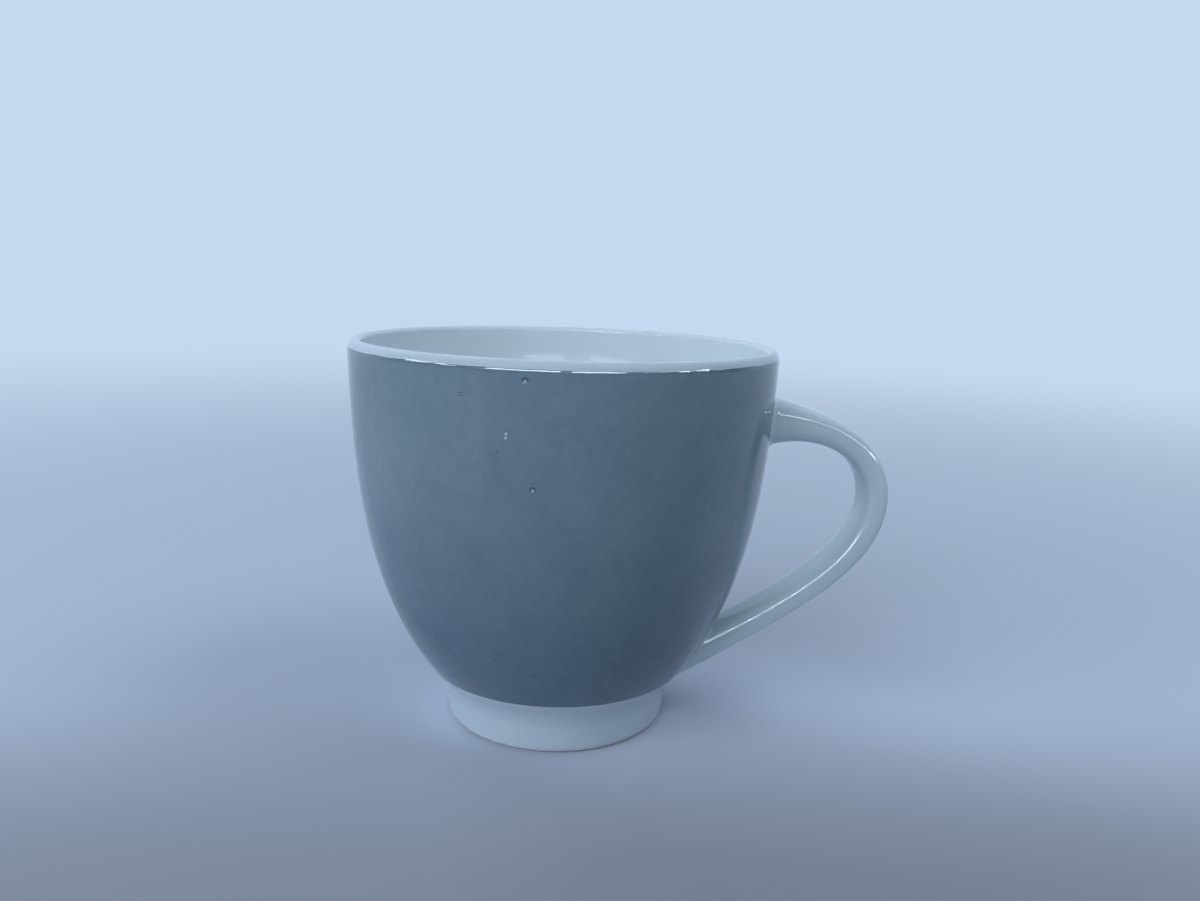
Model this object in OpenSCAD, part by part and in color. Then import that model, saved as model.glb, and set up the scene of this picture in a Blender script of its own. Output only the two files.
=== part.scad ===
// Cappuccino cup: a porcelain bowl on a turned foot, with a cast handle luted to its wall.
// The cup's axis is Z, it stands on z = 0 and its handle points along +X. Lengths are millimetres.

/* [Bowl] */
// Height of the glazed cup, from the table to the top of the lip
cup_h = 80.5; // [74:0.5:92]
// Diameter over the glaze just under the lip
rim_d = 88; // [80:0.5:98]
// Clay thickness of the wall at the lip
lip_wall_t = 2.2; // [1.6:0.1:3]
// Clay thickness of the wall below the stretch that thins to the lip
low_wall_t = 4; // [2.8:0.1:5]
// Angle of the bowl's side to the vertical where it leaves the foot
bowl_low_angle = 39; // [34:1:46]
// Angle of the wall to the vertical at the lip
bowl_lip_angle = 2; // [0:0.5:5]
// Pull of the bowl's curve at the foot
bowl_low_pull = 23; // [17:0.5:28]
// Pull of the bowl's curve at the lip
bowl_lip_pull = 28; // [21:0.5:34]

/* [Foot] */
// Diameter of the foot at its standing end, over the glaze
foot_d = 46.6; // [42:0.2:52]
// Diameter of the foot at the crease under the bowl
foot_top_d = 49.2; // [45:0.2:54]
// Height of the crease under the bowl
foot_h = 8.1; // [6:0.1:11]
// Length that the soft crease takes on each side of its corner
crease_l = 2.4; // [1.2:0.1:3]
// Clay width of the ring that the cup stands on
ring_w = 3.6; // [2.8:0.1:6]
// Rounding of the ring's two standing edges
ring_edge_r = 0.8; // [0.4:0.1:1.1]
// Height of the bare clay left at the standing end
bare_h = 1.2; // [1:0.1:1.6]
// Height of the recess under the floor
recess_h = 3.6; // [2.8:0.1:5]
// Rounding in the corner of the recess
recess_corner_r = 1.4; // [0.6:0.1:2]

/* [Floor] */
// Thickness of the glazed floor
floor_t = 4.6; // [3.6:0.1:6]
// Radius of the floor's flat middle
floor_flat_r = 9; // [5:0.5:12]
// Height above the floor at which the wall begins to round into it, on the outside
floor_round_h = 4; // [2.5:0.1:8]
// Pull of the round between floor and wall
floor_round_pull = 7; // [4:0.5:9]

/* [Glaze] */
// Thickness of every glaze coat
glaze_t = 0.3; // [0.2:0.05:0.5]
// Height of the white wall between the colour and the round of the lip
white_top_h = 0.1; // [0.1:0.1:3]
// Height of the white band between the crease and the colour
white_low_h = 4; // [3:0.1:8]

/* [Handle] */
// How far the handle stands out from the rim
handle_out = 25.8; // [20:0.2:32]
// Drop from the lip to the handle's outermost point
grip_drop = 31.5; // [27:0.5:36]
// Thickness of the handle at its grip, in the plane of the loop
grip_t = 5.55; // [4.5:0.05:7.5]
// Width of the handle, across the loop
grip_w = 10.5; // [8:0.1:13]
// Drop from the lip to the middle of the upper run at the wall
upper_root_drop = 15.2; // [12:0.1:19]
// Height of the middle of the lower run at the wall
lower_root_z = 13.2; // [12.5:0.1:18]
// Fall of the upper run where it leaves the wall
upper_root_angle = 1; // [-6:0.5:8]
// Rise of the lower run where it leaves the wall
lower_root_angle = 29.5; // [25:0.5:36]
// Pull of the upper curve at the wall
upper_root_pull = 15; // [11:0.5:18]
// Pull of the upper curve at the grip
upper_grip_pull = 9.6; // [7:0.2:12]
// Pull of the lower curve at the grip
lower_grip_pull = 13.4; // [10:0.2:17]
// Pull of the lower curve at the wall
lower_root_pull = 25; // [20:0.5:29]
// Thickness gained where the upper run meets the wall
upper_flare = 4.6; // [2:0.1:6]
// Thickness gained where the lower run meets the wall
lower_flare = 0.8; // [0:0.1:2]
// Radius of the slip fillet round each end of the handle
slip_fillet_r = 1.4; // [1:0.1:2]

/* [Hidden] */
$fn = 128;

// Share of the wall's thickness by which a cutting form runs past the face that it is cut to
overrun_share = 0.3;
// Share of the bowl's curve, from the lip down, in which the wall thins
thin_share = 0.3;
// Share of a corner's leg that the pulls of a round corner take
round_share = 0.55;
// Roundness of the handle's section: 2 is an ellipse, more is squarer
section_power = 3.2;
// How fast the handle's flare fades from the wall
flare_power = 5;
// Bounds, in curve parameter, of the stretch in which a run meets the wall
root_span_shares = [-0.25, 0.5];
// Steps of the bowl's curve, of small rounds, of the handle's length and round its section
bowl_steps = 36;
round_steps = 6;
lip_steps = 12;
handle_steps = 44;
section_sides = 24;
// Halvings in a search along a curve
search_steps = 24;

overrun = overrun_share * low_wall_t;
lip_t = lip_wall_t + 2 * glaze_t;
foot_dir = dir([foot_top_d / 2 - foot_d / 2, foot_h]);
crease = [foot_top_d / 2, foot_h];
bowl_dir = [sin(bowl_low_angle), cos(bowl_low_angle)];
lip_dir = [sin(bowl_lip_angle), cos(bowl_lip_angle)];
bowl_foot = crease + crease_l * bowl_dir;
bowl_lip = [rim_d / 2, cup_h - lip_t / 2 * (1 + sin(bowl_lip_angle))];
bowl_curve = [bowl_foot, bowl_foot + bowl_low_pull * bowl_dir,
    bowl_lip - bowl_lip_pull * lip_dir, bowl_lip];
crease_curve = corner(crease - crease_l * foot_dir, crease, bowl_foot);
colour_low_t = t_at_height(bowl_curve, foot_h + white_low_h);
colour_top_t = t_at_height(bowl_curve, bowl_lip.y - white_top_h);
floor_z = recess_h + floor_t;
floor_round_t = t_at_height(bowl_curve, floor_z + floor_round_h);
recess_r = foot_d / 2 - 2 * glaze_t - ring_w;

// Unit vector along v
function dir(v) = v / norm(v);
// Point on a cubic curve, its direction there, and the point that lies deeper than it by depth
function on(c, t) = pow(1 - t, 3) * c[0] + 3 * pow(1 - t, 2) * t * c[1] + 3 * (1 - t) * t * t * c[2]
    + pow(t, 3) * c[3];
function along(c, t) = dir(pow(1 - t, 2) * (c[1] - c[0]) + 2 * (1 - t) * t * (c[2] - c[1])
    + t * t * (c[3] - c[2]));
function inward(d) = [-d.y, d.x];
function under(c, t, depth) = on(c, t) + depth * inward(along(c, t));
function run(c, from, to, steps, depth) =
    [for (i = [0:steps]) under(c, from + (to - from) * i / steps, depth)];
// Cubic curve that rounds the corner at k between a and b
function corner(a, k, b) = [a, a + round_share * (k - a), b + round_share * (k - b), b];
// Parameter at which a rising curve reaches height z
function t_at_height(c, z, lo = 0, hi = 1, n = search_steps) = n == 0 ? (lo + hi) / 2
    : let (mid = (lo + hi) / 2) on(c, mid).y < z ? t_at_height(c, z, mid, hi, n - 1)
    : t_at_height(c, z, lo, mid, n - 1);
function tail(list) = [for (i = [1:len(list) - 1]) list[i]];
function reversed(list) = [for (i = [len(list) - 1:-1:0]) list[i]];

// Half profile of the cup in four runs, each at a depth under the glazed face: the clay lies at glaze_t
function smooth_step(s) = s * s * (3 - 2 * s);
function wall_depth(t) = lip_t + (low_wall_t - lip_wall_t) * smooth_step(min((1 - t) / thin_share, 1));
function recess_run(depth) =
    let (r = recess_r + depth, z = recess_h + depth)
    concat([[0, z]],
        run(corner([r - recess_corner_r, z], [r, z], [r, z - recess_corner_r]), 0, 1, round_steps, 0),
        [[r, bare_h]]);
function foot_run(depth) =
    concat([[foot_d / 2, 0] + bare_h / foot_dir.y * foot_dir + depth * inward(foot_dir)],
        run(crease_curve, 0, 1, round_steps, depth),
        tail(run(bowl_curve, 0, colour_low_t, round_steps, depth)));
function colour_run(depth) = run(bowl_curve, colour_low_t, colour_top_t, bowl_steps, depth);
function lip_round(depth) =
    let (n = inward(lip_dir), centre = bowl_lip + lip_t / 2 * n, r = lip_t / 2 - depth)
    [for (i = [0:lip_steps]) let (a = 180 * i / lip_steps) centre + r * (sin(a) * lip_dir - cos(a) * n)];
function inner_wall(depth) =
    [for (i = [1:bowl_steps]) let (t = 1 - (1 - floor_round_t) * i / bowl_steps)
        under(bowl_curve, t, wall_depth(t) - depth)];
function floor_round(depth) =
    let (top = under(bowl_curve, floor_round_t, wall_depth(floor_round_t) - depth),
        flat = [floor_flat_r, floor_z - depth])
    run([top, top - floor_round_pull * along(bowl_curve, floor_round_t),
        flat + [floor_round_pull, 0], flat], 0, 1, lip_steps, 0);
function lip_run(depth) =
    concat([under(bowl_curve, colour_top_t, depth)], lip_round(depth), inner_wall(depth),
        tail(floor_round(depth)), [[0, floor_z - depth]]);

// Standing ring of bare clay, from the recess's side round to the foot's side
function ring_run() =
    let (r_in = recess_r + glaze_t, r_out = foot_d / 2 - glaze_t, e = ring_edge_r)
    concat(run(corner([r_in, e], [r_in, 0], [r_in + e, 0]), 0, 1, round_steps, 0),
        run(corner([r_out - e, 0], [r_out, 0], [r_out, 0] + e * foot_dir), 0, 1, round_steps, 0));
// Height and radius of the glazed side, for what is luted to it
side_table = [for (p = concat(foot_run(0), tail(colour_run(0)))) [p.y, p.x]];

// Centre line of the handle: w runs from 0 at the upper end to 1 at the grip and 2 at the lower end
grip = [rim_d / 2 + handle_out - grip_t / 2, cup_h - grip_drop];
upper_root_z = cup_h - upper_root_drop;
upper_root = [lookup(upper_root_z, side_table), upper_root_z];
lower_root = [lookup(lower_root_z, side_table), lower_root_z];
upper_curve = [upper_root, upper_root + upper_root_pull * [cos(upper_root_angle), -sin(upper_root_angle)],
    grip + [0, upper_grip_pull], grip];
lower_curve = [lower_root, lower_root + lower_root_pull * [cos(lower_root_angle), sin(lower_root_angle)],
    grip - [0, lower_grip_pull], grip];
// A run goes on straight inside the wall
function run_on(c, u) = u < 0 ? c[0] + 3 * u * (c[1] - c[0]) : on(c, u);
function run_dir(c, u) = along(c, max(u, 0));
function flare(gain, u) = gain * pow(1 - max(u, 0), flare_power) / 2;
function signed_pow(v, p) = sign(v) * pow(abs(v), p);
// Point of the handle's skin at w along it and angle a round it, standing proud of it by extra
function skin_at(w, a, extra) =
    let (upper = w < 1, c = upper ? upper_curve : lower_curve, u = upper ? w : 2 - w,
        d = (upper ? 1 : -1) * run_dir(c, u), gain = flare(upper ? upper_flare : lower_flare, u),
        half_t = (grip_t / 2 + gain + extra) * signed_pow(cos(a), 2 / section_power),
        half_w = (grip_w / 2 + gain + extra) * signed_pow(sin(a), 2 / section_power),
        p = run_on(c, u) + half_t * inward(d))
    [p.x, half_w, p.y];
// How far a round wall of radius r stands out from a chord that reaches half_span to each side
function bulge(r, half_span) = r - sqrt(r * r - half_span * half_span);
function clear_of_wall(p) = norm([p.x, p.y]) - lookup(p.z, side_table);
// Place w along the handle where the line at angle a comes to stand gap off the glazed wall
function w_at_gap(top, a, extra, gap, lo = root_span_shares[0], hi = root_span_shares[1],
        n = search_steps) =
    let (mid = (lo + hi) / 2, w = top ? mid : 2 - mid)
    n == 0 ? w
    : clear_of_wall(skin_at(w, a, extra)) < gap ? w_at_gap(top, a, extra, gap, mid, hi, n - 1)
    : w_at_gap(top, a, extra, gap, lo, mid, n - 1);
function side_angle(i) = 360 * i / section_sides;
function ring_at_gap(top, extra, gap) =
    [for (i = [0:section_sides - 1]) let (a = side_angle(i))
        skin_at(w_at_gap(top, a, extra, gap), a, extra)];

// Closed solid through rings of section_sides points, its ends closed by strips across the section
module ring_solid(rings) {
    n = section_sides;
    last = n * (len(rings) - 1);
    sides = [for (k = [0:len(rings) - 2]) for (i = [0:n - 1]) let (j = (i + 1) % n, q = n * k)
        each [[q + i, q + j, q + n + i], [q + j, q + n + j, q + n + i]]];
    strip = [for (i = [0:n / 2 - 1]) i == 0 ? [0, 1, n - 1] : i == n / 2 - 1 ? [i, i + 1, n - i]
        : [i, i + 1, n - i - 1, n - i]];
    start = [for (f = strip) reversed(f)];
    end = [for (f = strip) [for (v = f) last + v]];
    polyhedron([for (r = rings) each r], concat(sides, start, end), convexity = 6);
}

// The same through rings that leave the wall at one end of the handle
module end_solid(top, rings) {
    ring_solid(top ? rings : reversed(rings));
}

// Luting slip at one end of the handle, run into the wall and not yet cut to it
module slip_form(top) {
    r = slip_fillet_r;
    rings = concat([ring_at_gap(top, r, -glaze_t - overrun)],
        [for (i = [0:round_steps]) let (a = 90 * i / round_steps)
            ring_at_gap(top, r * (1 - sin(a)), r * (1 - cos(a)))]);
    end_solid(top, rings);
}

// Plug through the glaze that leaves the slip's outline open in a coat
module slip_plug(top) {
    half_span = grip_w / 2 + flare(top ? upper_flare : lower_flare, 0) + slip_fillet_r;
    proud = overrun + bulge((top ? upper_root : lower_root).x, half_span);
    end_solid(top, [for (gap = [-glaze_t - overrun, proud]) ring_at_gap(top, slip_fillet_r, gap)]);
}

// Solid that fills the clay's outer shape
module clay_core() {
    side = concat(foot_run(glaze_t), tail(colour_run(glaze_t)));
    rotate_extrude() polygon(concat([[0, 0], [side[0].x, 0]], side, [[0, side[len(side) - 1].y]]));
}

// Coat of glaze between its two faces, with its seam on the side away from the handle
module coat(outer, inner) {
    rotate(180) rotate_extrude() polygon(concat(inner, reversed(outer)));
}

module outer_coat(outer, inner) {
    difference() {
        coat(outer, inner);
        slip_plug(true);
        slip_plug(false);
    }
}

module slip_joint(top) {
    difference() {
        slip_form(top);
        clay_core();
    }
}

// Fired clay: wall, floor and foot ring, turned in one piece
module cup_body() {
    color("#e9e6df") rotate_extrude() polygon(concat(recess_run(glaze_t), ring_run(), foot_run(glaze_t),
        tail(colour_run(glaze_t)), tail(lip_run(glaze_t))));
}

// Clear glaze in the recess under the floor
module base_glaze() {
    color("#dfe4e6") coat(recess_run(0), recess_run(glaze_t));
}

// Clear glaze on the foot and the white band under the colour
module foot_glaze() {
    color("#e3e8ea") outer_coat(foot_run(0), foot_run(glaze_t));
}

// Slate blue glaze on the outside of the bowl
module colour_glaze() {
    color("#66788a") outer_coat(colour_run(0), colour_run(glaze_t));
}

// Clear glaze over the lip and down the inside to the floor
module inner_glaze() {
    color("#e3e8ea") coat(lip_run(0), lip_run(glaze_t));
}

// Cast porcelain handle, cut at both ends to the slip
module handle() {
    gap = slip_fillet_r;
    ends = [for (i = [0:section_sides - 1]) [w_at_gap(true, side_angle(i), 0, gap),
        w_at_gap(false, side_angle(i), 0, gap)]];
    rings = [for (k = [0:handle_steps]) [for (i = [0:section_sides - 1])
        skin_at(ends[i][0] + (ends[i][1] - ends[i][0]) * k / handle_steps, side_angle(i), 0)]];
    color("#dde3e6") ring_solid(rings);
}

module upper_slip_joint() {
    color("#e6e5e0") slip_joint(true);
}

module lower_slip_joint() {
    color("#e6e5e0") slip_joint(false);
}

cup_body();
base_glaze();
foot_glaze();
colour_glaze();
inner_glaze();
handle();
upper_slip_joint();
lower_slip_joint();
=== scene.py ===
# Looks of the cappuccino cup: smooth castings and coats of glaze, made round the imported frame.
# Metres, +Z up along the bowl's axis, the handle along +X.
import math

import bmesh
import bpy
import numpy as np
from mathutils import Matrix, Vector


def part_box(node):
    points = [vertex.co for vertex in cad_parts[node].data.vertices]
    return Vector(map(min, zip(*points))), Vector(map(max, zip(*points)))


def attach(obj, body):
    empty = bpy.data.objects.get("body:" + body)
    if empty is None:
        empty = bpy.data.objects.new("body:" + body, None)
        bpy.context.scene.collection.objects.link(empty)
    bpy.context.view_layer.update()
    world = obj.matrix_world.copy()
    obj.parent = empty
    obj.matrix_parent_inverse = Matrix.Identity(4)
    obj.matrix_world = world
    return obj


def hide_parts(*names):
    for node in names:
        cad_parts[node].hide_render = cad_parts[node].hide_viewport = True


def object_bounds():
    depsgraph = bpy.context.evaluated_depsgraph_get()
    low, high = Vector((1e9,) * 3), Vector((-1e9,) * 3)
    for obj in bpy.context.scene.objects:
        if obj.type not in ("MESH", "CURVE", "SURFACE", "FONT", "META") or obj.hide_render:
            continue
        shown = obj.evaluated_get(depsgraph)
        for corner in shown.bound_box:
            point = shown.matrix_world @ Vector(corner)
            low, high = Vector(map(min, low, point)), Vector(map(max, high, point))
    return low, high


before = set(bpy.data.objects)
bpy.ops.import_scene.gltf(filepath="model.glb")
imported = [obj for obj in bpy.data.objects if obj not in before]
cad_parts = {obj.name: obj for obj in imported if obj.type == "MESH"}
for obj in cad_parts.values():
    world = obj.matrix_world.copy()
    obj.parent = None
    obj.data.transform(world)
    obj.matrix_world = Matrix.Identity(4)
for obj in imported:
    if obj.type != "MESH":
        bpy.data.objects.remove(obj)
cad_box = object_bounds()

MM = 0.001

# Sizes that the frame gives
cup_top = cad_box[1].z
rim_r = -cad_box[0].x
handle_reach = cad_box[1].x
colour_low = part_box("colour_glaze")[0].z
colour_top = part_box("colour_glaze")[1].z
coat_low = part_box("base_glaze")[0].z
recess_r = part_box("base_glaze")[1].x
recess_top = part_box("base_glaze")[1].z
floor_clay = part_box("inner_glaze")[0].z

# Bowl and lip
glaze_t = 0.3 * MM
lip_t = 2.8 * MM
lip_out_h = 2.5 * MM
lip_in_h = 0.9 * MM
low_wall_t = 4.6 * MM
bowl_low_angle = math.radians(39)
bowl_lip_angle = math.radians(2)
bowl_low_pull = 23 * MM
bowl_lip_pull = 28 * MM
thin_share = 0.3

# Foot, standing ring and recess
foot_r = 23.3 * MM
foot_top_r = 24.6 * MM
foot_h = 8.1 * MM
crease_l = 2.4 * MM
ring_edge_r = 0.8 * MM
recess_corner_r = 1.4 * MM
round_share = 0.55

# Floor
floor_flat_r = 9 * MM
floor_round_h = 4 * MM
floor_round_pull = 7 * MM

# Handle
grip_t = 5.55 * MM
grip_w = 10.5 * MM
grip_drop = 31.5 * MM
upper_root_drop = 15.2 * MM
lower_root_z = 13.2 * MM
upper_root_fall = math.radians(1)
lower_root_rise = math.radians(29.5)
upper_pulls = (15 * MM, 9.6 * MM)
lower_pulls = (25 * MM, 13.4 * MM)
upper_flare = 4.6 * MM
lower_flare = 0.8 * MM
flare_power = 5
section_power = 3.2
slip_fillet_r = 1.4 * MM
root_span = (-0.25, 0.5)

# Fineness of the meshes
turn_steps = 128
bowl_steps = 88
round_steps = 10
lip_steps = 20
handle_steps = 150
section_sides = 64
fillet_steps = 16
search_steps = 30
sharp_angle = math.radians(40)
merge_gap = 0.0003 * MM


# Half profile of the cup, as points of radius and height

def inward(direction):
    return Vector((-direction.y, direction.x))


class Curve:
    """A cubic curve in the half profile."""

    def __init__(self, *points):
        self.points = [Vector(p) for p in points]

    def at(self, t):
        a, b, c, d = self.points
        return (1 - t) ** 3 * a + 3 * (1 - t) ** 2 * t * b + 3 * (1 - t) * t * t * c + t ** 3 * d

    def along(self, t):
        a, b, c, d = self.points
        return ((1 - t) ** 2 * (b - a) + 2 * (1 - t) * t * (c - b) + t * t * (d - c)).normalized()

    def under(self, t, depth):
        return self.at(t) + depth * inward(self.along(t))

    def run(self, steps, depth=0, first=0, last=1):
        return [self.under(first + (last - first) * i / steps, depth) for i in range(steps + 1)]

    def reaches(self, height):
        low, high = 0, 1
        for _ in range(search_steps):
            middle = (low + high) / 2
            if self.at(middle).y < height:
                low = middle
            else:
                high = middle
        return middle


def corner(a, k, b):
    """The curve that rounds the corner k between a and b."""
    a, k, b = Vector(a), Vector(k), Vector(b)
    return Curve(a, a.lerp(k, round_share), b.lerp(k, round_share), b)


foot_end = Vector((foot_r, 0))
crease = Vector((foot_top_r, foot_h))
foot_dir = (crease - foot_end).normalized()
bowl_dir = Vector((math.sin(bowl_low_angle), math.cos(bowl_low_angle)))
lip_dir = Vector((math.sin(bowl_lip_angle), math.cos(bowl_lip_angle)))
bowl_foot = crease + crease_l * bowl_dir
bowl_lip = Vector((rim_r, cup_top - lip_t / 2 * (1 + lip_dir.x)))
bowl = Curve(bowl_foot, bowl_foot + bowl_low_pull * bowl_dir, bowl_lip - bowl_lip_pull * lip_dir, bowl_lip)
crease_round = corner(crease - crease_l * foot_dir, crease, bowl_foot)
colour_low_t = bowl.reaches(colour_low)
lip_foot_t = bowl.reaches(cup_top - lip_out_h * lip_dir.y - lip_t / 2 * lip_dir.x)
lip_edge_turn = math.asin((colour_top - cup_top + lip_out_h) / lip_out_h)
floor_z = floor_clay + glaze_t
floor_round_t = bowl.reaches(floor_z + floor_round_h)


def wall_depth(t):
    """Thickness of the wall behind the point t of the bowl's side. It thins towards the lip."""
    s = min((1 - t) / thin_share, 1)
    return lip_t + (low_wall_t - lip_t) * s * s * (3 - 2 * s)


def foot_run(depth):
    """From the bare ring up the foot and round the crease to the colour's lower edge."""
    start = foot_end + coat_low / foot_dir.y * foot_dir + depth * inward(foot_dir)
    rise = bowl.run(round_steps, depth, 0, colour_low_t)
    return [start] + crease_round.run(round_steps, depth) + rise[1:]


def lip_round(depth, first, last):
    """Points over the lip, which is rounded further down outside than inside. Half a turn goes
    right over it."""
    side = inward(lip_dir)
    top = bowl.at(lip_foot_t) + lip_t / 2 * side + lip_out_h * lip_dir
    points = []
    for i in range(lip_steps + 1):
        turn = first + (last - first) * i / lip_steps
        height = lip_out_h if turn < math.pi / 2 else lip_in_h
        out = (lip_t / 2 - depth) * math.cos(turn)
        points.append(top - height * lip_dir - out * side + (height - depth) * math.sin(turn) * lip_dir)
    return points


def colour_run(depth):
    """Up the bowl's side and over the lower part of the lip's round."""
    return bowl.run(bowl_steps, depth, colour_low_t, lip_foot_t) + lip_round(depth, 0, lip_edge_turn)[1:]


def lip_run(depth):
    """From the colour's upper edge over the lip, down the inside and in to the middle of the floor."""
    points = lip_round(depth, lip_edge_turn, math.pi)
    for i in range(bowl_steps + 1):
        t = 1 - (1 - floor_round_t) * i / bowl_steps
        points.append(bowl.under(t, wall_depth(t) - depth))
    flat = Vector((floor_flat_r, floor_z - depth))
    down = -floor_round_pull * bowl.along(floor_round_t)
    floor_round = Curve(points[-1], points[-1] + down, flat + Vector((floor_round_pull, 0)), flat)
    return points + floor_round.run(lip_steps)[1:] + [Vector((0, floor_z - depth))]


def recess_run(depth):
    """From the middle of the recess out to the bare ring."""
    r = recess_r - glaze_t + depth
    z = recess_top - glaze_t + depth
    turn = corner((r - recess_corner_r, z), (r, z), (r, z - recess_corner_r))
    return [Vector((0, z))] + turn.run(round_steps) + [Vector((r, coat_low))]


def ring_run():
    """The bare standing ring, from the recess round to the foot's side."""
    outer_r = foot_r - glaze_t
    inner = corner((recess_r, ring_edge_r), (recess_r, 0), (recess_r + ring_edge_r, 0))
    edge = Vector((outer_r, 0)) + ring_edge_r * foot_dir
    outer = corner((outer_r - ring_edge_r, 0), (outer_r, 0), edge)
    return inner.run(round_steps) + outer.run(round_steps)


# Handle's skin and its slip joints

grip = Vector((handle_reach - grip_t / 2, cup_top - grip_drop))
wall_profile = foot_run(0) + colour_run(0)[1:]
wall_z = np.array([p.y for p in wall_profile])
wall_r = np.array([p.x for p in wall_profile])


def wall_radius(z):
    return float(np.interp(z, wall_z, wall_r))


def handle_run(root_z, heading, pulls, grip_side):
    root = Vector((wall_radius(root_z), root_z))
    return Curve(root, root + pulls[0] * heading, grip + Vector((0, grip_side * pulls[1])), grip)


upper_heading = Vector((math.cos(upper_root_fall), -math.sin(upper_root_fall)))
lower_heading = Vector((math.cos(lower_root_rise), math.sin(lower_root_rise)))
upper_run = handle_run(cup_top - upper_root_drop, upper_heading, upper_pulls, 1)
lower_run = handle_run(lower_root_z, lower_heading, lower_pulls, -1)


def signed_power(value, power):
    return math.copysign(abs(value) ** power, value)


def skin(w, angle, proud):
    """Point of the handle's skin, w from 0 at the upper end over 1 at the grip to 2 at the lower end.
    Past its ends the handle runs straight on into the wall."""
    upper = w < 1
    curve = upper_run if upper else lower_run
    u = w if upper else 2 - w
    start = max(u, 0)
    middle = curve.at(start) + 3 * (u - start) * (curve.points[1] - curve.points[0])
    heading = curve.along(start) if upper else -curve.along(start)
    gain = (upper_flare if upper else lower_flare) * (1 - start) ** flare_power / 2 + proud
    across = (grip_t / 2 + gain) * signed_power(math.cos(angle), 2 / section_power)
    wide = (grip_w / 2 + gain) * signed_power(math.sin(angle), 2 / section_power)
    place = middle + across * inward(heading)
    return Vector((place.x, wide, place.y))


def skin_at_gap(upper, angle, proud, gap):
    """Where a line of the skin, standing proud of it, comes to lie gap off the glazed wall."""
    low, high = root_span
    for _ in range(search_steps):
        middle = (low + high) / 2
        w = middle if upper else 2 - middle
        point = skin(w, angle, proud)
        if math.hypot(point.x, point.y) - wall_radius(point.z) < gap:
            low = middle
        else:
            high = middle
    return w, point


section_angles = [math.tau * i / section_sides for i in range(section_sides)]


# Meshes

def revolve(profile, closed):
    """A bmesh of the profile turned about the bowl's axis."""
    bm = bmesh.new()
    verts = [bm.verts.new((p.x, 0, p.y)) for p in profile]
    pairs = list(zip(verts, verts[1:]))
    if closed:
        pairs.append((verts[-1], verts[0]))
    edges = [bm.edges.new(pair) for pair in pairs]
    bmesh.ops.spin(bm, geom=verts + edges, axis=(0, 0, 1), cent=(0, 0, 0), angle=math.tau,
                   steps=turn_steps, use_merge=True)
    bmesh.ops.remove_doubles(bm, verts=bm.verts[:], dist=merge_gap)
    bmesh.ops.recalc_face_normals(bm, faces=bm.faces[:])
    return bm


def coat(run):
    """A coat of glaze between its face and the clay, closed at its edges."""
    return revolve(run(0) + run(glaze_t)[::-1], closed=True)


def loft(rings):
    """A closed bmesh through rings of points, each extruded from the one before."""
    bm = bmesh.new()
    loop = bmesh.ops.create_circle(bm, cap_ends=True, radius=1, segments=section_sides)["verts"]
    for vert, place in zip(loop, rings[0]):
        vert.co = place
    edges = [e for e in bm.edges if e.is_boundary]
    for ring in rings[1:]:
        grown = bmesh.ops.extrude_edge_only(bm, edges=edges)["geom"]
        fresh = [g for g in grown if isinstance(g, bmesh.types.BMVert)]
        edges = [g for g in grown if isinstance(g, bmesh.types.BMEdge) and g.is_boundary]
        for vert, place in zip(fresh, ring):
            vert.co = place
    bmesh.ops.holes_fill(bm, edges=edges, sides=section_sides)
    bmesh.ops.recalc_face_normals(bm, faces=bm.faces[:])
    return bm


def handle_mesh():
    """The loop between its two slip joints, which it meets along their inner edges."""
    ends = [[skin_at_gap(upper, a, 0, slip_fillet_r)[0] for a in section_angles] for upper in (True, False)]
    rings = []
    for k in range(handle_steps + 1):
        share = k / handle_steps
        rings.append([skin(first + (last - first) * share, a, 0)
                      for first, last, a in zip(*ends, section_angles)])
    return loft(rings)


def slip_mesh(upper):
    """The slip at one end of the handle: a layer on the clay, and a hollow fillet up to the handle."""
    rings = [[skin_at_gap(upper, a, slip_fillet_r, -glaze_t)[1] for a in section_angles]]
    for i in range(fillet_steps + 1):
        turn = math.pi / 2 * i / fillet_steps
        proud = slip_fillet_r * (1 - math.sin(turn))
        gap = slip_fillet_r * (1 - math.cos(turn))
        rings.append([skin_at_gap(upper, a, proud, gap)[1] for a in section_angles])
    return loft(rings)


def finish_piece(name, bm, material, node):
    """Makes the piece's object in place of its node."""
    for edge in bm.edges:
        edge.smooth = edge.calc_face_angle(0) < sharp_angle
    for face in bm.faces:
        face.smooth = True
    mesh = bpy.data.meshes.new(name)
    bm.to_mesh(mesh)
    bm.free()
    mesh.materials.append(material)
    piece = bpy.data.objects.new(name, mesh)
    bpy.context.scene.collection.objects.link(piece)
    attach(piece, "root")
    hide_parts(node)


# Materials

class Wire:
    """A socket in a node tree. Sums and products of wires and numbers add Math nodes to that tree."""

    def __init__(self, tree, socket=None):
        self.tree = tree
        self.socket = socket

    def node(self, kind, settings=None, inputs=None, output=0):
        made = self.tree.nodes.new("ShaderNode" + kind)
        for name, value in (settings or {}).items():
            setattr(made, name, value)
        for name, value in (inputs or {}).items():
            if isinstance(value, Wire):
                self.tree.links.new(value.socket, made.inputs[name])
            else:
                made.inputs[name].default_value = value
        return Wire(self.tree, made.outputs[output] if made.outputs else None)

    def math(self, operation, *values):
        return self.node("Math", {"operation": operation}, dict(enumerate(values)))

    def __add__(self, other):
        return self.math("ADD", self, other)

    def __sub__(self, other):
        return self.math("SUBTRACT", self, other)

    def __rsub__(self, other):
        return self.math("SUBTRACT", other, self)

    def __mul__(self, other):
        return self.math("MULTIPLY", self, other)

    def __truediv__(self, other):
        return self.math("DIVIDE", self, other)

    __radd__ = __add__
    __rmul__ = __mul__


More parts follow.
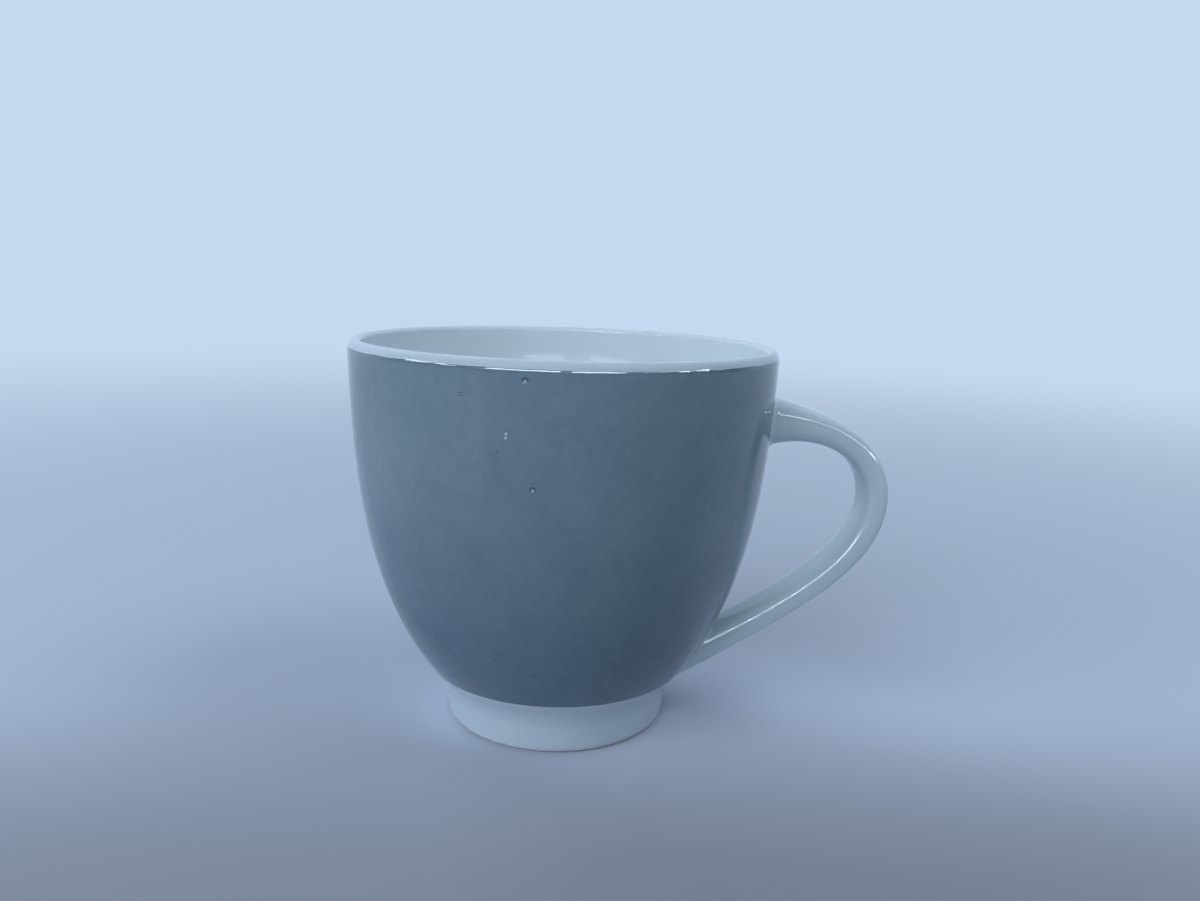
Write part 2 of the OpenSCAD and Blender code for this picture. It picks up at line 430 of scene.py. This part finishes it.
def new_material(name):
    """An empty material, with a wire to build its tree from."""
    material = bpy.data.materials.new(name)
    material.use_nodes = True
    material.node_tree.nodes.clear()
    return material, Wire(material.node_tree)


def close_material(wire, inputs):
    shader = wire.node("BsdfPrincipled", None, inputs)
    wire.node("OutputMaterial", None, {"Surface": shader})


def noise(wire, place, size, detail):
    """Noise about zero, between about -0.5 and 0.5, with grains of the given size."""
    return wire.node("TexNoise", None, {"Vector": place, "Scale": 1 / size, "Detail": detail}) - 0.5


def ramp(wire, value, low, high):
    """Rises smoothly from 0 at low to 1 at high."""
    return wire.node("MapRange", {"interpolation_type": "SMOOTHSTEP"},
                     {"Value": value, "From Min": low, "From Max": high})


def blend(wire, share, first, second):
    colours = [c if isinstance(c, Wire) else (*c, 1) for c in (first, second)]
    return wire.node("Mix", {"data_type": "RGBA"}, {0: share, 6: colours[0], 7: colours[1]}, 2)


def height_of(wire, place):
    return wire.node("SeparateXYZ", None, {0: place}, "Z")


def gloss(wire, place, hollow=None):
    """Roughness and normal of fired gloss: slow waves, fine orange peel and slightly duller patches."""
    waves = noise(wire, place, wave_size, detail=1) * wave_h
    relief = waves + noise(wire, place, peel_size, detail=2) * peel_h
    if hollow:
        relief = relief - hollow * pinhole_depth
    patches = noise(wire, place, patch_size, detail=3)
    return {"Roughness": gloss_roughness + patches * gloss_spread,
            "Normal": wire.node("Bump", None, {"Height": relief, "Distance": 1}, "Normal")}


def nearest_mark(wire, place, marks):
    """Distance to the nearest of the marks on the bowl's side, as a share of that mark's radius."""
    nearest = None
    for azimuth, height, radius in marks:
        turn = math.radians(azimuth)
        r = wall_radius(height * MM)
        centre = (r * math.cos(turn), r * math.sin(turn), height * MM)
        distance = wire.node("VectorMath", {"operation": "DISTANCE"}, {0: place, 1: centre}, "Value")
        away = distance / (radius * MM)
        nearest = away if nearest is None else wire.math("MINIMUM", nearest, away)
    return nearest


# Gloss of the glaze: waves, orange peel and duller patches
wave_size = 9 * MM
wave_h = 0.004 * MM
peel_size = 1.1 * MM
peel_h = 0.0006 * MM
patch_size = 14 * MM
gloss_roughness = 0.035
gloss_spread = 0.02
pinhole_depth = 0.12 * MM

# Thickness of the slate glaze: its rise to the lip, clouds, mottling and grain, as shares of thin glaze
slate_fade_h = 45 * MM
thin_at_foot = 0.05
thin_rise = 0.75
cloud_size = 11 * MM
cloud_share = 0.7
mottle_size = 4 * MM
mottle_share = 0.5
grain_size = 1.3 * MM
grain_share = 0.6

# Clear glaze: warm clouds, the pool in a corner and the edge where it meets the slate
warm_clouds = (-0.1, 0.35)
warm_share = 0.35
pool_h = 3.2 * MM
pool_share = 0.2
edge_wave_size = 5 * MM
edge_wave_h = 0.5 * MM
edge_soft_h = 0.08 * MM

# Bare porcelain of the standing ring
biscuit_grain_size = 0.35 * MM
biscuit_grain_h = 0.05 * MM
biscuit_roughness = 0.72
biscuit_roughness_spread = 0.2
scuff_size = 2.4 * MM
scuff_clouds = (0.02, 0.25)
scuff_share = 0.5

# Colours
slate_thin = (0.211, 0.289, 0.34)
slate_thick = (0.133, 0.199, 0.262)
slate_mark = (0.045, 0.06, 0.085)
white_colour = (0.71, 0.78, 0.83)
# The inside white is painted lighter than white_colour: painted light on one clear glaze.
inside_painted_light_colour = (0.775, 0.83, 0.86)
# The outside of the lip is painted darker than white_colour: painted shade.
lip_painted_shade_colour = (0.67, 0.74, 0.79)
# The foot's white is painted darker than white_colour: painted shade.
foot_painted_shade_colour = (0.65, 0.73, 0.775)
# The handle's white is painted lighter than white_colour: painted light.
handle_painted_light_colour = (0.72, 0.81, 0.855)
pool_colour = (0.56, 0.68, 0.74)
warm_colour = (0.72, 0.77, 0.8)
biscuit_colour = (0.69, 0.71, 0.72)
scuff_colour = (0.45, 0.43, 0.41)

# Marks in the slate glaze, as azimuth in degrees from the handle, height in mm and radius in mm
pinholes = [(-98.4, 77.1, 0.65), (-113.3, 74.2, 0.4), (-96.5, 58.5, 0.55), (-104.7, 64.8, 0.25),
            (47, 66, 0.6), (131, 38, 0.5), (164, 71, 0.7), (88, 52, 0.4), (-160, 44, 0.45)]
flecks = [(-102.7, 67.3, 0.3), (-102.6, 68.0, 0.3), (112, 59, 0.35)]
nicks = [(-71.2, 12.2, 0.45), (-72.6, 12.15, 0.5), (-73.8, 12.2, 0.35)]

# How the marks fade from their middle to their edge, as shares of their radius, and how strong they are
pinhole_rim = (1.15, 0.8)
pinhole_rim_share = 0.65
pinhole_heart = (0.5, 0.25)
pinhole_heart_share = 0.5
pinhole_hollow = (1, 0.3)
fleck_edge = (1.1, 0.6)
fleck_share = 0.75
nick_edge = (1, 0.6)
nick_share = 0.8


def slate_material():
    """Slate blue-grey glaze: thinner and paler in clouds and to the lip, thicker and darker to the foot."""
    material, wire = new_material("slate_glaze")
    place = wire.node("TexCoord", None, None, "Object")
    rise = ramp(wire, height_of(wire, place), colour_low, colour_low + slate_fade_h)
    clouds = noise(wire, place, cloud_size, detail=3) * cloud_share
    mottle = noise(wire, place, mottle_size, detail=3) * mottle_share
    grain = noise(wire, place, grain_size, detail=2) * grain_share
    thin = wire.node("Clamp", None, {0: rise * thin_rise + clouds + mottle + grain + thin_at_foot})
    colour = blend(wire, thin, slate_thick, slate_thin)
    pinhole = nearest_mark(wire, place, pinholes)
    heart = ramp(wire, pinhole, *pinhole_heart)
    rim = ramp(wire, pinhole, *pinhole_rim) * (1 - heart)
    colour = blend(wire, rim * pinhole_rim_share, colour, slate_mark)
    fleck = ramp(wire, nearest_mark(wire, place, flecks), *fleck_edge)
    pale = wire.math("MAXIMUM", heart * pinhole_heart_share, fleck * fleck_share)
    colour = blend(wire, pale, colour, white_colour)
    nick = ramp(wire, nearest_mark(wire, place, nicks), *nick_edge)
    colour = blend(wire, nick * nick_share, colour, slate_mark)
    hollow = ramp(wire, pinhole, *pinhole_hollow)
    close_material(wire, {"Base Color": colour, **gloss(wire, place, hollow)})
    return material


def white_material(name, white, pool_z=None, slate_edge=None):
    """Clear glaze over white porcelain, with faint warm clouds, cooler where it pools about pool_z. The
    white it is given holds the painted light and shade of its part of the cup. Outside the lip it is
    painted darker, as painted shade, and it ends on the slate at slate_edge."""
    material, wire = new_material(name)
    place = wire.node("TexCoord", None, None, "Object")
    clouds = ramp(wire, noise(wire, place, cloud_size, detail=3), *warm_clouds)
    colour = blend(wire, clouds * warm_share, white, warm_colour)
    height = height_of(wire, place)
    if pool_z is not None:
        near = ramp(wire, wire.math("ABSOLUTE", height - pool_z), pool_h, 0)
        colour = blend(wire, near * pool_share, colour, pool_colour)
    if slate_edge is not None:
        edge = slate_edge + noise(wire, place, edge_wave_size, detail=2) * edge_wave_h
        flat = wire.node("VectorMath", {"operation": "MULTIPLY"}, {0: place, 1: (1, 1, 0)})
        radius = wire.node("VectorMath", {"operation": "LENGTH"}, {0: flat}, "Value")
        outside = ramp(wire, radius, rim_r - lip_t, rim_r - lip_t / 2)
        # Painted shade: the outside of the lip is darker.
        colour = blend(wire, outside, colour, lip_painted_shade_colour)
        slate_below = ramp(wire, height - edge, edge_soft_h, 0) * outside
        colour = blend(wire, slate_below, colour, slate_thick)
    close_material(wire, {"Base Color": colour, **gloss(wire, place)})
    return material


def bare_material():
    """Fired porcelain without glaze: finely rough, warm, and scuffed grey where it stands."""
    material, wire = new_material("bare_porcelain")
    place = wire.node("TexCoord", None, None, "Object")
    grain = noise(wire, place, biscuit_grain_size, detail=3)
    scuffs = ramp(wire, noise(wire, place, scuff_size, detail=4), *scuff_clouds)
    colour = blend(wire, scuffs * scuff_share, biscuit_colour, scuff_colour)
    roughness = biscuit_roughness + grain * biscuit_roughness_spread
    bump = wire.node("Bump", None, {"Height": grain * biscuit_grain_h, "Distance": 1}, "Normal")
    close_material(wire, {"Base Color": colour, "Roughness": roughness, "Normal": bump})
    return material


slate = slate_material()
# The inside and the inner lip get a white that carries painted light.
lip_white = white_material("inside_glaze", inside_painted_light_colour, slate_edge=colour_top)
# The foot band gets a white that carries painted shade.
foot_white = white_material("foot_glaze", foot_painted_shade_colour, pool_z=crease.y)
recess_white = white_material("recess_glaze", white_colour, pool_z=recess_top)
# The handle and its fillets get a white that carries painted light.
handle_white = white_material("handle_glaze", handle_painted_light_colour)
bare = bare_material()


# Pieces, each in place of one node of the frame

body_profile = (recess_run(glaze_t) + ring_run() + foot_run(glaze_t)[1:] + colour_run(glaze_t)[1:]
                + lip_run(glaze_t)[1:])
finish_piece("fired_body", revolve(body_profile, closed=False), bare, "cup_body")
finish_piece("recess_glaze", coat(recess_run), recess_white, "base_glaze")
finish_piece("foot_band_glaze", coat(foot_run), foot_white, "foot_glaze")
finish_piece("slate_band_glaze", coat(colour_run), slate, "colour_glaze")
finish_piece("lip_and_inside_glaze", coat(lip_run), lip_white, "inner_glaze")
finish_piece("loop_handle", handle_mesh(), handle_white, "handle")
finish_piece("upper_luted_fillet", slip_mesh(upper=True), handle_white,
             "upper_slip_joint")
finish_piece("lower_luted_fillet", slip_mesh(upper=False), handle_white,
             "lower_slip_joint")


# Stage, light and camera

# Camera that was fitted to the photo, with its turns in radians and its focal length in the photo's pixels
camera_place = Vector((0, -202.4, 96.5)) * MM
camera_yaw = 0.0394
camera_pitch = -0.1905
camera_roll = 0.0351
focal_pixels = 971
image_w = 1200
sensor_w = 36
nearest_view = 10 * MM

# Floor, in metres from the bowl's axis: its fade to the backdrop, its front darkened by a painted shadow,
# and its sector that glows in the glaze's reflection as painted daylight
floor_size = 8
floor_fade = (0, 0.9)
floor_colour = (0.6, 0.62, 0.71)
floor_front_shadow_colour = (0.33, 0.335, 0.385)
floor_front_shadow = (-0.075, 0.005)
glow_front = (math.radians(-31), math.radians(-40))
glow_back = (math.radians(-135), math.radians(-95))
glow_reach = (0.1, 0.25)

# Backdrop, room and lamps
background_colour = (0.55, 0.69, 0.87)
back_edge = (0.1, 0.4)
back_glow = 0.58
room_glow = 0.03
daylight = (0.7, 0.84, 1)
fill_distance = 1.2
pane_distance = 1.0


def make_camera():
    data = bpy.data.cameras.new("photo_camera")
    data.sensor_fit = "HORIZONTAL"
    data.sensor_width = sensor_w
    data.lens = focal_pixels / image_w * sensor_w
    data.clip_start = nearest_view
    camera = bpy.data.objects.new("photo_camera", data)
    turned = (Matrix.Rotation(-camera_yaw, 4, "Z") @ Matrix.Rotation(math.pi / 2 + camera_pitch, 4, "X")
              @ Matrix.Rotation(camera_roll, 4, "Z"))
    camera.matrix_world = Matrix.Translation(camera_place) @ turned
    bpy.context.scene.collection.objects.link(camera)
    bpy.context.scene.camera = camera


def indirect_view(wire):
    """1 for rays that are mirrored or have passed through something clear."""
    glossy = wire.node("LightPath", None, None, "Is Glossy Ray")
    clear = wire.node("LightPath", None, None, "Is Transmission Ray")
    return wire.math("MAXIMUM", glossy, clear)


def floor_material():
    """Pale paper that fades into the backdrop with distance, with a painted shadow darkening its front.
    What the glaze mirrors of it glows with the backdrop's colour in the sector on the left: a painted
    reflection of daylight falling there."""
    material, wire = new_material("pale_floor")
    place = wire.node("TexCoord", None, None, "Object")
    distance = wire.node("VectorMath", {"operation": "LENGTH"}, {0: place}, "Value")
    fade = ramp(wire, distance, *floor_fade)
    depth = wire.node("SeparateXYZ", None, {0: place}, "Y")
    side = wire.node("SeparateXYZ", None, {0: place}, "X")
    turn = wire.math("ARCTAN2", side, 0 - depth)
    # Painted reflection: in the glaze, this sector of the floor glows with the backdrop's colour, standing
    # in for daylight.
    sector = ramp(wire, turn, *glow_front) * ramp(wire, turn, *glow_back)
    glow = sector * ramp(wire, distance, *glow_reach)
    # Painted shadow: the floor is darker towards its front.
    colour = blend(wire, ramp(wire, depth, *floor_front_shadow), floor_front_shadow_colour, floor_colour)
    seen = wire.node("LightPath", None, None, "Is Camera Ray")
    mirrored = indirect_view(wire)
    paper = wire.node("BsdfDiffuse", None, {"Color": colour})
    far = wire.node("Emission", None, {"Color": (*background_colour, 1)})
    shown = wire.math("MAXIMUM", fade * seen, wire.math("MAXIMUM", fade, glow) * mirrored)
    mixed = wire.node("MixShader", None, {0: shown, 1: paper, 2: far})
    wire.node("OutputMaterial", None, {"Surface": mixed})
    return material


def make_floor():
    bm = bmesh.new()
    bmesh.ops.create_grid(bm, x_segments=1, y_segments=1, size=floor_size / 2)
    mesh = bpy.data.meshes.new("studio_floor")
    bm.to_mesh(mesh)
    bm.free()
    mesh.materials.append(floor_material())
    floor = bpy.data.objects.new("studio_floor", mesh)
    bpy.context.scene.collection.objects.link(floor)


def make_world():
    """A pale backdrop behind the cup and a dim room before it. The camera sees the backdrop all round."""
    world = bpy.data.worlds.new("pale_room")
    world.use_nodes = True
    wire = Wire(world.node_tree)
    world.node_tree.nodes.clear()
    direction = wire.node("TexCoord", None, None, "Generated")
    back = wire.node("SeparateXYZ", None, {0: direction}, "Y")
    behind = ramp(wire, back, *back_edge)
    seen = wire.node("LightPath", None, None, "Is Camera Ray")
    mirrored = indirect_view(wire)
    pale = wire.node("Background", None, {"Color": (*background_colour, 1), "Strength": back_glow})
    room = wire.node("Background", None, {"Color": (*daylight, 1), "Strength": room_glow})
    backdrop = wire.node("Background", None, {"Color": (*background_colour, 1), "Strength": 1})
    light = wire.node("MixShader", None, {0: behind, 1: room, 2: pale})
    shown = wire.math("MAXIMUM", seen, mirrored * behind)
    shade = wire.node("MixShader", None, {0: shown, 1: light, 2: backdrop})
    wire.node("OutputWorld", None, {"Surface": shade})
    bpy.context.scene.world = world


def make_lamp(name, distance, azimuth, elevation, width, height, brightness):
    """A soft box that faces the cup. Azimuth is from the camera's side, towards the handle."""
    data = bpy.data.lights.new(name, "AREA")
    data.shape = "RECTANGLE"
    data.size = width
    data.size_y = height
    data.energy = math.pi * width * height * brightness
    data.color = daylight
    lamp = bpy.data.objects.new(name, data)
    turn, lift = math.radians(azimuth), math.radians(elevation)
    away = Vector((math.sin(turn) * math.cos(lift), -math.cos(turn) * math.cos(lift), math.sin(lift)))
    place = Vector((0, 0, cup_top / 2)) + away * distance
    lamp.matrix_world = Matrix.Translation(place) @ away.to_track_quat("Z", "Y").to_matrix().to_4x4()
    lamp.visible_camera = False
    bpy.context.scene.collection.objects.link(lamp)
    return lamp


def make_fill(name, **place):
    """A lamp that lights the cup and isn't mirrored in its glaze."""
    make_lamp(name, fill_distance, **place).visible_glossy = False


def make_pane(name, **place):
    """A lamp that is only mirrored in the glaze, as a window pane is."""
    make_lamp(name, pane_distance, **place).visible_diffuse = False


make_camera()
make_floor()
make_world()
make_fill("left_front_low_fill", azimuth=-56, elevation=10, width=0.34, height=0.3, brightness=2.6)
make_fill("left_front_fill", azimuth=-56, elevation=24, width=0.34, height=0.5, brightness=4.5)
make_fill("front_left_fill", azimuth=-24, elevation=24, width=0.6, height=0.5, brightness=4.1)
make_fill("back_left_fill", azimuth=-140, elevation=35, width=0.6, height=0.6, brightness=2.8)
make_fill("high_left_fill", azimuth=-40, elevation=52, width=0.8, height=0.6, brightness=1.8)
make_fill("high_right_fill", azimuth=80, elevation=52, width=0.8, height=0.6, brightness=3.1)
make_pane("left_pane", azimuth=-79, elevation=16, width=0.25, height=0.1, brightness=9)
make_pane("left_front_pane", azimuth=-60.5, elevation=16, width=0.22, height=0.1, brightness=26)
make_pane("front_left_pane", azimuth=-20.5, elevation=16, width=0.65, height=0.1, brightness=28)
make_pane("front_left_low_pane", azimuth=-31, elevation=11.8, width=0.51, height=0.045, brightness=3)
make_pane("front_right_pane", azimuth=17, elevation=16, width=0.46, height=0.1, brightness=28)
make_pane("front_right_low_pane", azimuth=13.5, elevation=11.8, width=0.46, height=0.045, brightness=3)
make_pane("right_pane", azimuth=47, elevation=17, width=0.28, height=0.1, brightness=12)
make_pane("right_slit", azimuth=62, elevation=16, width=0.1, height=0.1, brightness=40)
make_pane("far_right_slit", azimuth=73.5, elevation=16, width=0.14, height=0.1, brightness=20)
bpy.context.scene.view_settings.view_transform = "Standard"
